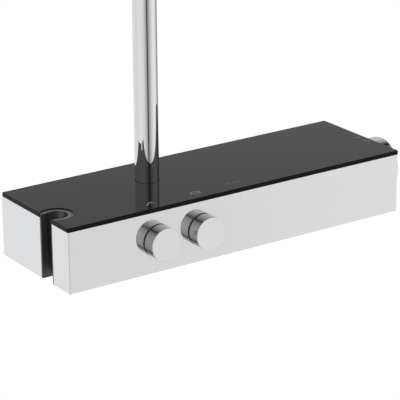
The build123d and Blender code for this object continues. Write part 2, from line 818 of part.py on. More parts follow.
lip_top = sqrt(hollow_radius**2 - (button_width / 2 + button_lip) ** 2) - 2 * button_gap
with BuildPart() as safety_button:
    with BuildSketch(button_plane.offset(lip_top - button_lip)):
        Rectangle(button_length, button_width)
    extrude(amount=temperature_knob_radius + button_proud + past - lip_top + button_lip)
    rod(
        thermostat_plane,
        temperature_knob_radius + button_proud,
        0,
        temperature_knob_face,
        Mode.INTERSECT,
    )
    chamfer(safety_button.edges().group_by(Axis.Z)[-1], button_edge)
    with BuildSketch(button_plane.offset(lip_top - button_lip)):
        Rectangle(button_length + 2 * button_lip, button_width + 2 * button_lip)
    extrude(amount=button_lip)
finish(safety_button, "safety_button")

with BuildPart() as button_spring:
    coil(
        button_plane,
        button_spring_radius,
        spring_wire,
        spring_turns,
        button_post_top + fit_gap,
        lip_top - button_lip - fit_gap,
    )
finish(button_spring, "button_spring")

# Riser, the seal where it leaves the glass, and the O-rings of its two sliding joints
with BuildPart() as riser_tube:
    tube(riser_plane, riser_radius, riser_radius - riser_wall, riser_tube_foot, riser_top)
finish(riser_tube, "riser_tube")

with BuildPart() as riser_seal:
    tube(
        riser_plane,
        riser_hole_radius - fit_gap,
        riser_radius + fit_gap,
        inner_top,
        glass_top - glass_bevel,
    )
finish(riser_seal, "riser_seal")

housing_foot = riser_top - housing_overlap
housing_top = housing_foot + housing_height
arm_foot = riser_top + housing_floor
collar_foot = housing_top - arm_collar
swivel_bore_length = collar_foot - arm_foot
riser_rings = ring_heights(riser_socket_foot, riser_insert)
arm_rings = ring_heights(arm_foot, swivel_bore_length)
with BuildPart() as pipe_orings:
    for pipe_radius, heights in ((riser_radius, riser_rings), (arm_radius, arm_rings)):
        for height in heights:
            with Locations(Location(riser_plane.origin + riser_plane.z_dir * height)):
                Torus(pipe_radius + ring_section + fit_gap / 2, ring_section - fit_gap / 4)
finish(pipe_orings, "pipe_orings")

# Wall bracket: screwed plate, rosette over it, and a clamp round the riser
with BuildPart() as bracket_plate:
    rod(bracket_plane, bracket_plate_radius, 0, bracket_plate_thickness)
    with BuildSketch(bracket_plane):
        with GridLocations(bracket_screw_spacing, 1, 2, 1):
            Circle(bracket_screw_radius)
    extrude(amount=bracket_plate_thickness, mode=Mode.SUBTRACT)
finish(bracket_plate, "bracket_plate")

with BuildPart() as bracket_rosette:
    rod(bracket_plane, rosette_radius, 0, rosette_depth)
    fillet(bracket_rosette.edges().group_by(Axis.Y)[0], rosette_wall)
    rod(bracket_plane, rosette_radius - rosette_wall, 0, rosette_depth - rosette_wall, Mode.SUBTRACT)
    rod(bracket_plane, post_radius + fit_gap, 0, rosette_depth + past, Mode.SUBTRACT)
finish(bracket_rosette, "bracket_rosette")

with BuildPart() as riser_clamp:
    rod(bracket_plane, post_radius, bracket_plate_thickness, riser_depth)
    clamp_low = bracket_height - clamp_height / 2
    rod(riser_plane, clamp_radius, clamp_low, clamp_low + clamp_height)
    fillet(riser_clamp.edges().filter_by(GeomType.CIRCLE).group_by(Axis.Z)[-1], clamp_edge)
    fillet(riser_clamp.edges().filter_by(GeomType.CIRCLE).group_by(Axis.Z)[0], clamp_edge)
    clamp_ends = (clamp_low - past, clamp_low + clamp_height + past)
    rod(riser_plane, riser_radius + fit_gap, *clamp_ends, Mode.SUBTRACT)
finish(riser_clamp, "riser_clamp")

# Swivel housing on the riser's top, and the arm that turns in it
with BuildPart() as swivel_housing:
    rod(riser_plane, housing_radius, housing_foot, housing_top)
    fillet(swivel_housing.edges().group_by(Axis.Z)[0], housing_edge)
    rod(riser_plane, riser_radius + fit_gap, housing_foot - past, riser_top, Mode.SUBTRACT)
    rod(riser_plane, arm_radius - arm_wall, riser_top - past, arm_foot + past, Mode.SUBTRACT)
    rod(riser_plane, arm_radius + fit_gap, arm_foot, housing_top, Mode.SUBTRACT)
    rod(riser_plane, arm_collar_radius + fit_gap, collar_foot, housing_top + past, Mode.SUBTRACT)
    for height in arm_rings:
        tube(
            riser_plane,
            arm_radius + 2 * ring_section + fit_gap,
            arm_radius,
            height - ring_section - fit_gap,
            height + ring_section + fit_gap,
            Mode.SUBTRACT,
        )
finish(swivel_housing, "swivel_housing")

arm_top = riser_top + arm_rise
arm_end = arm_top - arm_drop
with BuildPart() as shower_arm:
    with BuildLine() as arm_line:
        FilletPolyline(
            (riser_x, -riser_depth, arm_foot + end_gap),
            (riser_x, -riser_depth, arm_top),
            (riser_x, -riser_depth - arm_reach, arm_top),
            (riser_x, -riser_depth - arm_reach, arm_end),
            radius=arm_bend,
        )
    with BuildSketch(riser_plane.offset(arm_foot + end_gap)):
        Circle(arm_radius)
        Circle(arm_radius - arm_wall, mode=Mode.SUBTRACT)
    sweep(path=arm_line.line)
    collar_inner = arm_radius - arm_wall / 2
    tube(riser_plane, arm_collar_radius, collar_inner, collar_foot + fit_gap, housing_top - fit_gap)
finish(shower_arm, "shower_arm")

with BuildPart() as arm_retainer:
    retainer_top = housing_top + retainer_height
    tube(riser_plane, housing_radius, arm_radius + 2 * fit_gap, housing_top, retainer_top)
    fillet(arm_retainer.edges().group_by(Axis.Z)[-1].sort_by(SortBy.LENGTH)[-1], retainer_edge)
finish(arm_retainer, "arm_retainer")

# Ball joint, with heights measured downwards from the arm's end
head_plane = Plane(
    origin=(riser_x, -riser_depth - arm_reach, arm_end),
    x_dir=(1, 0, 0),
    z_dir=(0, 0, -1),
)
ball_height = socket_shoulder + ball_neck_length
ball_centre = head_plane.origin + head_plane.z_dir * ball_height
seat_inner = ball_radius + seat_gap
seat_outer = seat_inner + seat_thickness
cup_radius = seat_outer + seat_gap
with BuildPart() as ball_nipple:
    rod(head_plane, socket_radius, -socket_overlap, socket_shoulder)
    fillet(ball_nipple.edges(), socket_edge)
    rod(head_plane, ball_neck_radius, 0, ball_height)
    with Locations(Location(ball_centre)):
        Sphere(ball_radius)
    rod(head_plane, arm_radius + fit_gap, -socket_overlap - past, 0, Mode.SUBTRACT)
    rod(head_plane, ball_bore, -past, ball_height + ball_radius + past, Mode.SUBTRACT)
finish(ball_nipple, "ball_nipple")

with BuildPart() as ball_seat:
    with Locations(Location(ball_centre)):
        Sphere(seat_outer)
        Sphere(seat_inner, mode=Mode.SUBTRACT)
    rod(
        head_plane,
        seat_outer + past,
        ball_height - seat_half_height,
        ball_height + seat_half_height,
        Mode.INTERSECT,
    )
finish(ball_seat, "ball_seat")

nut_radius = head_boss_radius + fit_gap + collar_nut_wall
with BuildPart() as collar_nut:
    rod(head_plane, nut_radius, ball_height - collar_nut_top, ball_height + collar_nut_skirt)
    fillet(collar_nut.edges(), collar_nut_edge)
    rod(
        head_plane,
        head_boss_radius + fit_gap,
        ball_height,
        ball_height + collar_nut_skirt + past,
        Mode.SUBTRACT,
    )
    rod(head_plane, collar_nut_opening, 0, ball_height, Mode.SUBTRACT)
    with Locations(Location(ball_centre)):
        Sphere(cup_radius, mode=Mode.SUBTRACT)
finish(collar_nut, "collar_nut")

# Rain head: shell, spray plate and a soft sheet whose nozzles stand through the plate
shell_top = ball_height + head_boss_height
shell_foot = shell_top + head_thickness
plate_top = shell_foot - spray_plate_thickness
sheet_top = plate_top - nozzle_sheet_thickness
with BuildPart() as head_shell:
    rod(head_plane, head_boss_radius, ball_height, shell_top + past)
    rod(head_plane, head_radius, shell_top, shell_foot)
    fillet(head_shell.edges().group_by(Axis.Z)[0], head_edge)
    hollow_ends = (shell_top + head_skin, shell_foot + past)
    rod(head_plane, head_radius - head_skin, *hollow_ends, Mode.SUBTRACT)
    rod(head_plane, head_inlet_radius, ball_height, shell_foot, Mode.SUBTRACT)
    with Locations(Location(ball_centre)):
        Sphere(cup_radius, mode=Mode.SUBTRACT)
finish(head_shell, "head_shell")


def nozzle_field(radius, mode=Mode.ADD):
    """Circles at the nozzle positions: one in the middle and rings of six more each time."""
    Circle(radius, mode=mode)
    for ring in range(1, nozzle_rings + 1):
        with PolarLocations(ring * nozzle_pitch, 6 * ring):
            Circle(radius, mode=mode)


with BuildPart() as spray_plate:
    with BuildSketch(head_plane.offset(plate_top)):
        Circle(head_radius - head_skin - fit_gap)
        nozzle_field(nozzle_radius + fit_gap, Mode.SUBTRACT)
    extrude(amount=spray_plate_thickness)
finish(spray_plate, "spray_plate")

with BuildPart() as nozzle_sheet:
    rod(head_plane, head_radius - head_skin - fit_gap, sheet_top, plate_top)
    with BuildSketch(head_plane.offset(plate_top)):
        nozzle_field(nozzle_radius)
    extrude(amount=spray_plate_thickness + nozzle_proud)
    with BuildSketch(head_plane.offset(sheet_top)):
        nozzle_field(nozzle_radius / 2)
    extrude(amount=shell_foot + nozzle_proud - sheet_top, mode=Mode.SUBTRACT)
finish(nozzle_sheet, "nozzle_sheet")
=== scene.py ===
# %% [markdown]
# # A thermostatic rain shower, finished in Blender
# The imported CAD model is the frame: every tube, knob and shell is already where it belongs,
# in metres. This lesson gives each of them a finish made of nodes, adds the printed marks, two
# wound springs and the hose thread, and lights it all as a product studio would. Start by
# loading the frame.

import math

import bmesh
import bpy
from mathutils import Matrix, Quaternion, Vector


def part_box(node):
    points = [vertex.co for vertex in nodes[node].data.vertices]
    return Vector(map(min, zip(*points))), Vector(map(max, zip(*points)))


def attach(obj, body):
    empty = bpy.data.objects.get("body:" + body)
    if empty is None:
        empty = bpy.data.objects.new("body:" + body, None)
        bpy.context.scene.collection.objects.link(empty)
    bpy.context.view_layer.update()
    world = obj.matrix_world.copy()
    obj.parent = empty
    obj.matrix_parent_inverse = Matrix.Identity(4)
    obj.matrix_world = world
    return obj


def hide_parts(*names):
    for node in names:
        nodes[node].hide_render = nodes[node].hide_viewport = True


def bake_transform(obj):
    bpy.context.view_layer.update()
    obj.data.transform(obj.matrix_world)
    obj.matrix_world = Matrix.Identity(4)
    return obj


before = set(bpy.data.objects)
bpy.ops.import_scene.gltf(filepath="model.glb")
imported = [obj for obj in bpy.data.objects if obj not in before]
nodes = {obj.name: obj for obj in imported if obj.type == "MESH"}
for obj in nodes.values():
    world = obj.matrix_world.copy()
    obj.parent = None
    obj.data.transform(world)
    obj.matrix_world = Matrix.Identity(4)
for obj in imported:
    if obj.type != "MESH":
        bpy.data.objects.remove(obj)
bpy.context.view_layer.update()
mm = 0.001

# %% [markdown]
# ## Places
# Everything below is placed from the boxes of the CAD parts, so it follows them if a size
# changes. The glass shelf carries the printed marks, each knob's mark lies behind its knob, and
# the hose outlet hangs below the casing.

# %% Measure the parts that later steps stand on
glass_low, glass_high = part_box("glass_shelf")
casing_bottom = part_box("casing")[0].z


def centre_of(node):
    """The middle of a CAD node's box."""
    low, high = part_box(node)
    return (low + high) / 2


hand_spot = centre_of("hand_knob")
rain_spot = centre_of("rain_knob")
riser_spot = centre_of("riser_tube")
print("glass top", round(glass_high.z, 4), "riser at", round(riser_spot.x, 4), round(riser_spot.y, 4))

# %% [markdown]
# ## Shader maths as Python
# A node tree is only a sum written with boxes. Wrapping a socket in a small class lets the sum
# be typed: `1 - mask` adds a Math node. Colours don't go through Math, which would turn them
# grey, so they have their own mixing method. Any other node comes from one method, `node`.


# %% A socket that Python's operators work on
class Wire:
    """One output socket. Each operator adds a Math node and gives back its output."""

    def __init__(self, board, socket):
        self.board = board
        self.socket = socket

    def math(self, operation, first, second):
        """A Math node of that operation on two numbers or wires."""
        return self.board.node("Math", {"operation": operation}, {0: first, 1: second})

    def __add__(self, other):
        return self.math("ADD", self, other)

    def __radd__(self, other):
        return self.math("ADD", other, self)

    def __sub__(self, other):
        return self.math("SUBTRACT", self, other)

    def __rsub__(self, other):
        return self.math("SUBTRACT", other, self)

    def __mul__(self, other):
        return self.math("MULTIPLY", self, other)

    def __rmul__(self, other):
        return self.math("MULTIPLY", other, self)

    def __truediv__(self, other):
        return self.math("DIVIDE", self, other)

    def __rtruediv__(self, other):
        return self.math("DIVIDE", other, self)

    def __pow__(self, other):
        return self.math("POWER", self, other)


# %% A node tree that hands out nodes
class Board:
    """A node tree. node() makes any node: its type, its settings, then its sockets."""

    def __init__(self, tree):
        self.tree = tree
        tree.nodes.clear()

    def node(self, kind, settings=None, inputs=None, output=0):
        """Adds a shader node and returns one of its outputs as a Wire."""
        made = self.tree.nodes.new("ShaderNode" + kind)
        for name, value in (settings or {}).items():
            if name == "stops":
                self.fill_ramp(made.color_ramp, value)
            else:
                setattr(made, name, value)
        for name, value in (inputs or {}).items():
            if isinstance(value, Wire):
                self.tree.links.new(value.socket, made.inputs[name])
            else:
                made.inputs[name].default_value = value
        return Wire(self, made.outputs[output]) if made.outputs else made

    def fill_ramp(self, ramp, stops):
        """Sets a ramp's stops from (position, brightness) pairs."""
        while len(ramp.elements) < len(stops):
            ramp.elements.new(1.0)
        for element, (position, brightness) in zip(ramp.elements, stops):
            element.position = position
            element.color = (brightness, brightness, brightness, 1)

    def ramp(self, value, *stops):
        """A grey ramp over a value."""
        return self.node("ValToRGB", {"stops": stops}, {0: value})

    def blend(self, factor, first, second):
        """One colour turning into another."""
        return self.node("Mix", {"data_type": "RGBA"}, {0: factor, 6: first, 7: second}, 2)

    def noise(self, scale, detail=2.0, stretch=None):
        """Noise at a scale in cells per metre, stretched along one axis where it is given."""
        place = self.node("TexCoord", output="Object")
        if stretch:
            place = self.node("Mapping", inputs={"Vector": place, "Scale": stretch})
        return self.node("TexNoise", inputs={"Vector": place, "Scale": scale, "Detail": detail})

    def bump(self, height, strength, distance):
        """A bump that feeds a shader's Normal. The distance is how deep it is, in metres."""
        inputs = {"Strength": strength, "Distance": distance, "Height": height}
        return self.node("Bump", inputs=inputs, output="Normal")


def grey(value):
    """A neutral colour."""
    return (value, value, value, 1)


# %% [markdown]
# ## One way to make a finish
# Each finish starts as a new material with one shader. The numbers that are the same all over
# are set on the shader itself; only what changes over the surface comes in through a link.


# %% Start a material
def new_finish(name):
    """A material and its empty board."""
    material = bpy.data.materials.new(name)
    material.use_nodes = True
    return material, Board(material.node_tree)


def close_finish(board, **sockets):
    """Adds the shader and the output to a board."""
    named = {key.replace("_", " "): value for key, value in sockets.items()}
    surface = board.node("BsdfPrincipled", inputs=named)
    board.node("OutputMaterial", inputs={"Surface": surface})


# %% [markdown]
# ## Polished chrome
# Chrome plate is a mirror with almost no colour of its own. What makes it look real is that it
# is never quite perfect: the plating ripples a little over the brass, and handling leaves soft
# patches that are slightly less sharp. So the colour and the roughness both vary with a broad
# noise, and a very shallow bump gives the ripple. The big casing has a whiter, hazier plate than
# the turned knobs, which a metallic value below one gives. The knobs' turned sides carry painted
# shade: their colour is darker than their faces', which the direction of the surface tells apart.


# %% Chrome finishes
def chrome(name, tone, haze, ripple, rim=1.0, painted_side_shade=1.0):
    """Chrome plate: tone, share of haze, ripple in metres, tone at the rim, and painted shade on side
    walls.
    """
    material, board = new_finish(name)
    patches = board.noise(14.0, 3.0)
    wiped = board.ramp(board.noise(45.0, 4.0, (1, 1, 0.25)), (0.42, 0.0), (0.72, 1.0))
    light = [tone * 1.015, tone * 1.02, tone * 1.015, 1]
    dark = [tone * 0.985, tone * 0.985, tone * 0.99, 1]
    plate = board.blend(patches, dark, light)
    # Painted shade: side walls are darkened by this factor where they face away from the front.
    if painted_side_shade < 1.0:
        facing = board.node("SeparateXYZ", inputs={0: board.node("TexCoord", output="Normal")}, output="Y")
        front = board.ramp(facing * facing, (0.45, 0.0), (0.95, 1.0))
        shaded = [channel * painted_side_shade for channel in dark[:3]] + [1]
        plate = board.blend(front, shaded, plate)
    close_finish(
        board,
        Base_Color=plate,
        Metallic=1 - haze,
        Specular_Tint=grey(rim),
        Roughness=0.012 + 0.03 * wiped + 0.012 * patches,
        Normal=board.bump(board.noise(38.0, 1.0), 1.0, ripple),
    )
    return material


casing_chrome = chrome("casing_chrome", tone=0.73, haze=0.14, ripple=3e-6)
tube_chrome = chrome("tube_chrome", tone=0.71, haze=0.0, ripple=1e-6, rim=0.85)
# The knobs' side walls carry painted shade at 0.63 of the plate's tone.
knob_chrome = chrome("knob_chrome", tone=0.73, haze=0.0, ripple=1e-6, painted_side_shade=0.63)
head_chrome = chrome("head_chrome", tone=0.72, haze=0.05, ripple=4e-6)
print("chrome finishes made")

# %% [markdown]
# ## Black glass
# The shelf is toughened glass printed black on its underside. Seen from above it is a dark,
# weak mirror: most of what reaches the eye is the room at a low angle. A low index of
# refraction keeps that reflection dim, and a trace of dust and wiping breaks it up.


# %% Glass finish
def black_glass(name):
    """Glass with a black print behind it."""
    material, board = new_finish(name)
    dust = board.ramp(board.noise(2600.0, 2.0), (0.70, 0.0), (0.78, 1.0))
    smears = board.noise(30.0, 3.0, (1, 0.3, 1))
    close_finish(
        board,
        Base_Color=board.blend(dust, (0.006, 0.0065, 0.0065, 1), (0.02, 0.021, 0.021, 1)),
        Roughness=0.012 + 0.02 * smears + 0.10 * dust,
        IOR=1.153,
    )
    return material


glass = black_glass("black_glass")

# %% [markdown]
# ## Moulded plastic, rubber and silicone
# Moulded parts take their skin from a spark-eroded tool: fine, even pits. A soft noise gives the
# pits, and a slower one the flow of the plastic. Rubber is duller, with no sheen to speak of.


# %% Plastic finishes
def moulded(name, colour, roughness, grain, depth, index=1.45):
    """A moulded skin with pits of a size and depth in metres."""
    material, board = new_finish(name)
    flow = board.noise(60.0, 2.0)
    pits = board.noise(1 / grain, 2.0)
    shade = [channel * 0.86 for channel in colour] + [1]
    close_finish(
        board,
        Base_Color=board.blend(flow, shade, (*colour, 1)),
        Roughness=roughness - 0.06 + 0.08 * flow + 0.05 * pits,
        IOR=index,
        Normal=board.bump(pits, 0.35, depth),
    )
    return material


liner_plastic = moulded("liner_plastic", (0.034, 0.035, 0.034), 0.36, 0.0005, 2e-5, 1.6)
trim_plastic = moulded("trim_plastic", (0.003, 0.003, 0.003), 0.45, 0.0005, 2e-5, 1.14)
acetal = moulded("grey_acetal", (0.50, 0.51, 0.51), 0.42, 0.0006, 2e-5)
rubber = moulded("seal_rubber", (0.018, 0.018, 0.018), 0.62, 0.0004, 3e-5)
silicone = moulded("nozzle_silicone", (0.12, 0.125, 0.13), 0.5, 0.0003, 2e-5, 1.41)
adhesive = moulded("bond_line", (0.01, 0.01, 0.01), 0.6, 0.0008, 3e-5)
ceramic = moulded("lapped_ceramic", (0.80, 0.79, 0.75), 0.16, 0.0004, 2e-6, 1.7)
print("moulded finishes made")

# %% [markdown]
# ## Plain metals
# The parts behind the casing aren't plated. Zinc plate has a faint crystal pattern, stainless
# wire and screws keep fine drawing lines, and the brass castings are dull and slightly pitted,
# with darker patches where they have oxidised.


# %% Metal finishes
def drawn_steel(name, tone, stretch):
    """Steel with fine lines along one axis."""
    material, board = new_finish(name)
    lines = board.noise(2200.0, 3.0, stretch)
    close_finish(
        board,
        Base_Color=board.blend(lines, grey(tone * 0.86), grey(tone)),
        Metallic=1.0,
        Roughness=0.22 + 0.16 * lines,
        Normal=board.bump(lines, 0.4, 1e-5),
    )
    return material


def zinc_plate(name):
    """Zinc plate with its crystals."""
    material, board = new_finish(name)
    place = board.node("TexCoord", output="Object")
    crystals = board.node("TexVoronoi", inputs={"Vector": place, "Scale": 260.0}, output="Distance")
    close_finish(
        board,
        Base_Color=board.blend(crystals, (0.56, 0.57, 0.56, 1), (0.70, 0.70, 0.68, 1)),
        Metallic=1.0,
        Roughness=0.30 + 0.15 * crystals,
        Normal=board.bump(board.noise(900.0), 0.3, 1e-5),
    )
    return material


def cast_brass(name, roughness, pits):
    """Brass, dull with small pits, oxidised in patches."""
    material, board = new_finish(name)
    tarnish = board.ramp(board.noise(70.0, 4.0), (0.40, 0.0), (0.75, 1.0))
    skin = board.noise(1500.0, 3.0)
    close_finish(
        board,
        Base_Color=board.blend(tarnish, (0.79, 0.60, 0.33, 1), (0.47, 0.33, 0.17, 1)),
        Metallic=1.0,
        Roughness=roughness + 0.15 * tarnish + 0.08 * skin,
        Normal=board.bump(skin, 0.5, pits),
    )
    return material


stainless = drawn_steel("drawn_stainless", 0.66, (1, 1, 0.05))
zinc = zinc_plate("zinc_plate")
casting_brass = cast_brass("casting_brass", 0.42, 6e-5)
turned_brass = cast_brass("turned_brass", 0.20, 1e-5)
print("metal finishes made")

# %% [markdown]
# ## Give every CAD part its finish
# The parts keep their meshes; only what is in their material slots changes. A part that has no
# slot yet gets one.

# %% Hand out the finishes
finish_of = {
    casing_chrome: ["casing"],
    tube_chrome: ["riser_tube", "riser_clamp", "bracket_rosette", "swivel_housing", "arm_retainer",
                  "shower_arm", "ball_nipple", "collar_nut", "hose_outlet_nipple"],
    knob_chrome: ["hand_knob", "rain_knob", "temperature_knob", "safety_button"],
    head_chrome: ["head_shell", "spray_plate"],
    glass: ["glass_shelf"],
    adhesive: ["glass_bond"],
    liner_plastic: ["holder_liner"],
    trim_plastic: ["hand_spindle_bush", "rain_spindle_bush", "thermostat_bush", "stop_ring"],
    zinc: ["back_plate", "bracket_plate"],
    stainless: ["casing_screws", "hand_knob_grub", "rain_knob_grub", "return_spring", "button_spring"],
    casting_brass: ["valve_body"],
    turned_brass: ["cold_inlet_nipple", "hot_inlet_nipple", "cold_union_nut", "hot_union_nut",
                   "hand_cartridge", "rain_cartridge", "hand_cartridge_nut", "rain_cartridge_nut",
                   "hand_spindle", "rain_spindle", "thermostat_nut", "thermostat_spindle"],
    acetal: ["bar_saddles", "cold_check_valve", "hot_check_valve", "cold_check_poppet",
             "hot_check_poppet", "thermostat_cartridge", "regulating_piston", "ball_seat"],
    ceramic: ["hand_fixed_disc", "rain_fixed_disc", "hand_moving_disc", "rain_moving_disc"],
    rubber: ["inlet_washers", "riser_seal", "pipe_orings"],
    silicone: ["nozzle_sheet"],
}
for finish, names in finish_of.items():
    for name in names:
        slots = nodes[name].data.materials
        slots.clear()
        slots.append(finish)
finished = sum(len(names) for names in finish_of.values())
print("finished", finished, "of", len(nodes), "parts")

# %% [markdown]
# ## Printed marks
# The glass carries a small mark behind each knob and a cold and hot scale beside the temperature
# knob, screen-printed in light ink. Ink stands a few hundredths of a millimetre proud, so each
# mark is a thin slab cut to its outline, made of bands. A band is a line given a width: two
# rows of points, one each side of the line, joined by faces and thickened.


# %% Draw bands and press them into slabs
ink_height = 0.03 * mm


def piece_from(name, shaper, finish):
    """Turns a shaper's mesh into an object with a finish, and puts it in the scene."""
    mesh = bpy.data.meshes.new(name)
    shaper.to_mesh(mesh)
    shaper.free()
    mesh.materials.append(finish)
    piece = bpy.data.objects.new(name, mesh)
    bpy.context.scene.collection.objects.link(piece)
    return piece


def band(shaper, line, width, closed=False):
    """Adds a flat band of faces that follows a line of (x, y) points, in millimetres."""
    points = [Vector(point) for point in line]
    count = len(points)
    rails = []
    for index, point in enumerate(points):
        before = points[index - 1] if closed or index else point
        after = points[(index + 1) % count] if closed or index < count - 1 else point
        along = (after - before).normalized()
        across = Vector((-along.y, along.x)) * width / 2
        rails.append([
            shaper.verts.new(((point.x + side * across.x) * mm, (point.y + side * across.y) * mm, 0))
            for side in (1, -1)
        ])
    if closed:
        rails.append(rails[0])
    for (left, right), (next_left, next_right) in zip(rails, rails[1:]):
        shaper.faces.new((left, right, next_right, next_left))


def ink_finish(name, colour):
    """Screen ink: nearly even, with the fine grain of the mesh it was pressed through."""
    material, board = new_finish(name)
    grain = board.noise(4000.0, 2.0)
    thin = [channel * 0.8 for channel in colour] + [1]
    close_finish(
        board,
        Base_Color=board.blend(grain, thin, (*colour, 1)),
        Roughness=0.42 + 0.12 * grain,
        IOR=1.25,
        Normal=board.bump(grain, 0.3, 4e-6),
    )
    return material


def printed(name, bands, finish):
    """A mark on the glass. Each band is (points, width), and True after them closes it."""
    shaper = bmesh.new()
    for shape in bands:
        band(shaper, *shape)
    shaper.normal_update()
    bmesh.ops.solidify(shaper, geom=shaper.faces[:], thickness=ink_height)
    bmesh.ops.recalc_face_normals(shaper, faces=shaper.faces[:])
    lowest = min(vertex.co.z for vertex in shaper.verts)
    bmesh.ops.translate(shaper, vec=(0, 0, glass_high.z - lowest), verts=shaper.verts[:])
    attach(piece_from(name, shaper, finish), "mixer")
    print("printed", name, "with", len(bands), "bands")


white_ink = ink_finish("light_ink", (0.34, 0.37, 0.39))
grey_ink = ink_finish("grey_ink", (0.20, 0.215, 0.22))
blue_ink = ink_finish("cold_ink", (0.035, 0.060, 0.42))
red_ink = ink_finish("hot_ink", (0.62, 0.016, 0.018))

# %% [markdown]
# The hand shower's mark is a slanted handle with three lines of spray, and the rain shower's is
# a low dome with drops under it. Each is drawn round the line of its own knob. Further to the
# right a plain drop and two waves stand where a maker would put a mark. All are drawn in
# millimetres, as small strokes are easiest to read that way.


# %% Print the two outlet marks and the drop
def wave(left, right, front, swing, steps=24):
    """A sine line of two swings between two places along the glass."""
    return [
        (left + (right - left) * step / steps, front + swing * math.sin(4 * math.pi * step / steps))
        for step in range(steps + 1)
    ]


def arc(x, y, reach_x, reach_y, first, last, steps=20):
    """Points on an ellipse between two angles, in degrees."""
    turns = [math.radians(first + (last - first) * step / steps) for step in range(steps + 1)]
    return [(x + reach_x * math.cos(turn), y + reach_y * math.sin(turn)) for turn in turns]


hand_x = hand_spot.x / mm
rain_x = rain_spot.x / mm
mark_setback = 16.0
mark_y = glass_low.y / mm + mark_setback
handle = [(hand_x - 7.0, mark_y - 3.4), (hand_x - 2.9, mark_y + 0.6), (hand_x + 1.0, mark_y + 3.6)]
hand_head = [(hand_x + 0.2, mark_y + 4.6), (hand_x + 3.4, mark_y + 2.2)]
printed("hand_mark", [(handle, 1.5), (hand_head, 1.7)], white_ink)
spray = [
    ([(hand_x + start, mark_y + 1.6), (hand_x + start + 1.6, mark_y - 2.4)], 0.6)
    for start in (1.6, 3.0, 4.4)
]
printed("hand_spray_mark", spray, grey_ink)

dome = arc(rain_x + 1.0, mark_y - 0.2, 6.4, 4.4, 180, 0)
sill = [(rain_x - 6.0, mark_y - 0.8), (rain_x + 8.0, mark_y - 0.8)]
printed("rain_mark", [(dome, 1.2), (sill, 0.9)], white_ink)
drop_count = 5
drop_gap = 2.5
drop_places = [rain_x - 4.0 + drop_gap * column for column in range(drop_count)]
drops = [([(x, mark_y - 2.2), (x, mark_y - 4.6)], 0.6) for x in drop_places]
printed("rain_drops_mark", drops, grey_ink)

water_offset = 83.0
drop_x = (hand_x + rain_x) / 2 + water_offset
drop_y = mark_y + 4.6
drop_half_width = 2.4
drop_half_height = 3.6
drop_points = 28
teardrop = []
for step in range(drop_points):
    turn = 2 * math.pi * step / drop_points
    swell = math.sin(turn) * math.sin(turn / 2) ** 1.5
    teardrop.append((drop_x + drop_half_width * swell, drop_y + drop_half_height * math.cos(turn)))
waves = [(wave(drop_x + 5.0, drop_x + 17.0, mark_y + rise, 0.8), 0.6) for rise in (5.6, 2.6)]
printed("water_mark", [(teardrop, 0.7, True)] + waves, grey_ink)

# %% [markdown]
# Beside the temperature knob a blue bar runs back to cold and a red one forward to hot, with a
# short light bar at the middle, on the knob's own axis.

# %% Print the temperature scale
scale_inset = 9.0
scale_x = glass_high.x / mm - scale_inset
axis_y = centre_of("temperature_knob").y / mm
cold_bar = [(scale_x - 0.8, axis_y + 21.5), (scale_x, axis_y + 8.2)]
hot_bar = [(scale_x, axis_y - 10.0), (scale_x + 0.8, axis_y - 24.0)]
middle_bar = [(scale_x - 2.2, axis_y + 1.8), (scale_x + 2.4, axis_y - 2.5)]
printed("cold_scale", [(cold_bar, 1.9)], blue_ink)
printed("hot_scale", [(hot_bar, 1.9)], red_ink)
printed("middle_scale", [(middle_bar, 1.6)], white_ink)

# %% [markdown]
# ## Wound springs
# Two coil springs change length as the shower is used: one lifts the safety button, one pushes
# the regulating piston back. Each is wound again as wire round its axis, in the box of its CAD
# part, with its end coils drawn closer as a real spring's are, and the CAD spring is hidden.


# %% Wind the two springs
def ring_loop(shaper, centre, first, second, radius, sides):
    """A ring of vertices round a centre, in the plane of two directions."""
    turns = [2 * math.pi * side / sides for side in range(sides)]
    return [
        shaper.verts.new(centre + radius * (math.cos(turn) * first + math.sin(turn) * second))
        for turn in turns
    ]


def bridge(shaper, loops, closed=False):
    """Faces between each loop of vertices and the next."""
    followers = loops[1:] + loops[:1] if closed else loops[1:]
    for loop, follower in zip(loops, followers):
        for index in range(len(loop)):
            following = (index + 1) % len(loop)
            shaper.faces.new((loop[index], loop[following], follower[following], follower[index]))


def smooth_piece(name, shaper, finish):
    """An object from a shaper's mesh, smooth but for its sharp edges."""
    bmesh.ops.recalc_face_normals(shaper, faces=shaper.faces[:])
    for face in shaper.faces:
        face.smooth = True
    piece = piece_from(name, shaper, finish)
    piece.data.set_sharp_from_angle(angle=math.radians(35))
    return piece


def wound_spring(name, node, wire, turns, axis):
    """A compression spring wound in a node's box, along one axis."""
    low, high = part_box(node)
    middle = (low + high) / 2
    along = Vector([1.0 if index == axis else 0.0 for index in range(3)])
    first = Vector((0, 1, 0))
    second = along.cross(first)
    reach = (high.y - low.y) / 2 - wire
    length = high[axis] - low[axis]
    per_turn = 28
    wire_sides = 10
    shaper = bmesh.new()
    loops = []
    for step in range(turns * per_turn + 1):
        share = step / (turns * per_turn)
        eased = share * share * (3 - 2 * share)
        rise = wire + (length - 2 * wire) * (share + eased) / 2 - length / 2
        turn = 2 * math.pi * step / per_turn
        outward = math.cos(turn) * first + math.sin(turn) * second
        centre = middle + rise * along + reach * outward
        loops.append(ring_loop(shaper, centre, outward, along, wire, wire_sides))
    bridge(shaper, loops)
    shaper.faces.new(loops[0])
    shaper.faces.new(loops[-1])
    spring = smooth_piece(name, shaper, stainless)
    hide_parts(node)
    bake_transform(spring)
    print("wound", name, "with", turns, "turns over", round(length / mm, 1), "mm")


x_axis = 0
z_axis = 2
wound_spring("button_coil", "button_spring", 0.5 * mm, 5, z_axis)
wound_spring("return_coil", "return_spring", 0.9 * mm, 3, x_axis)

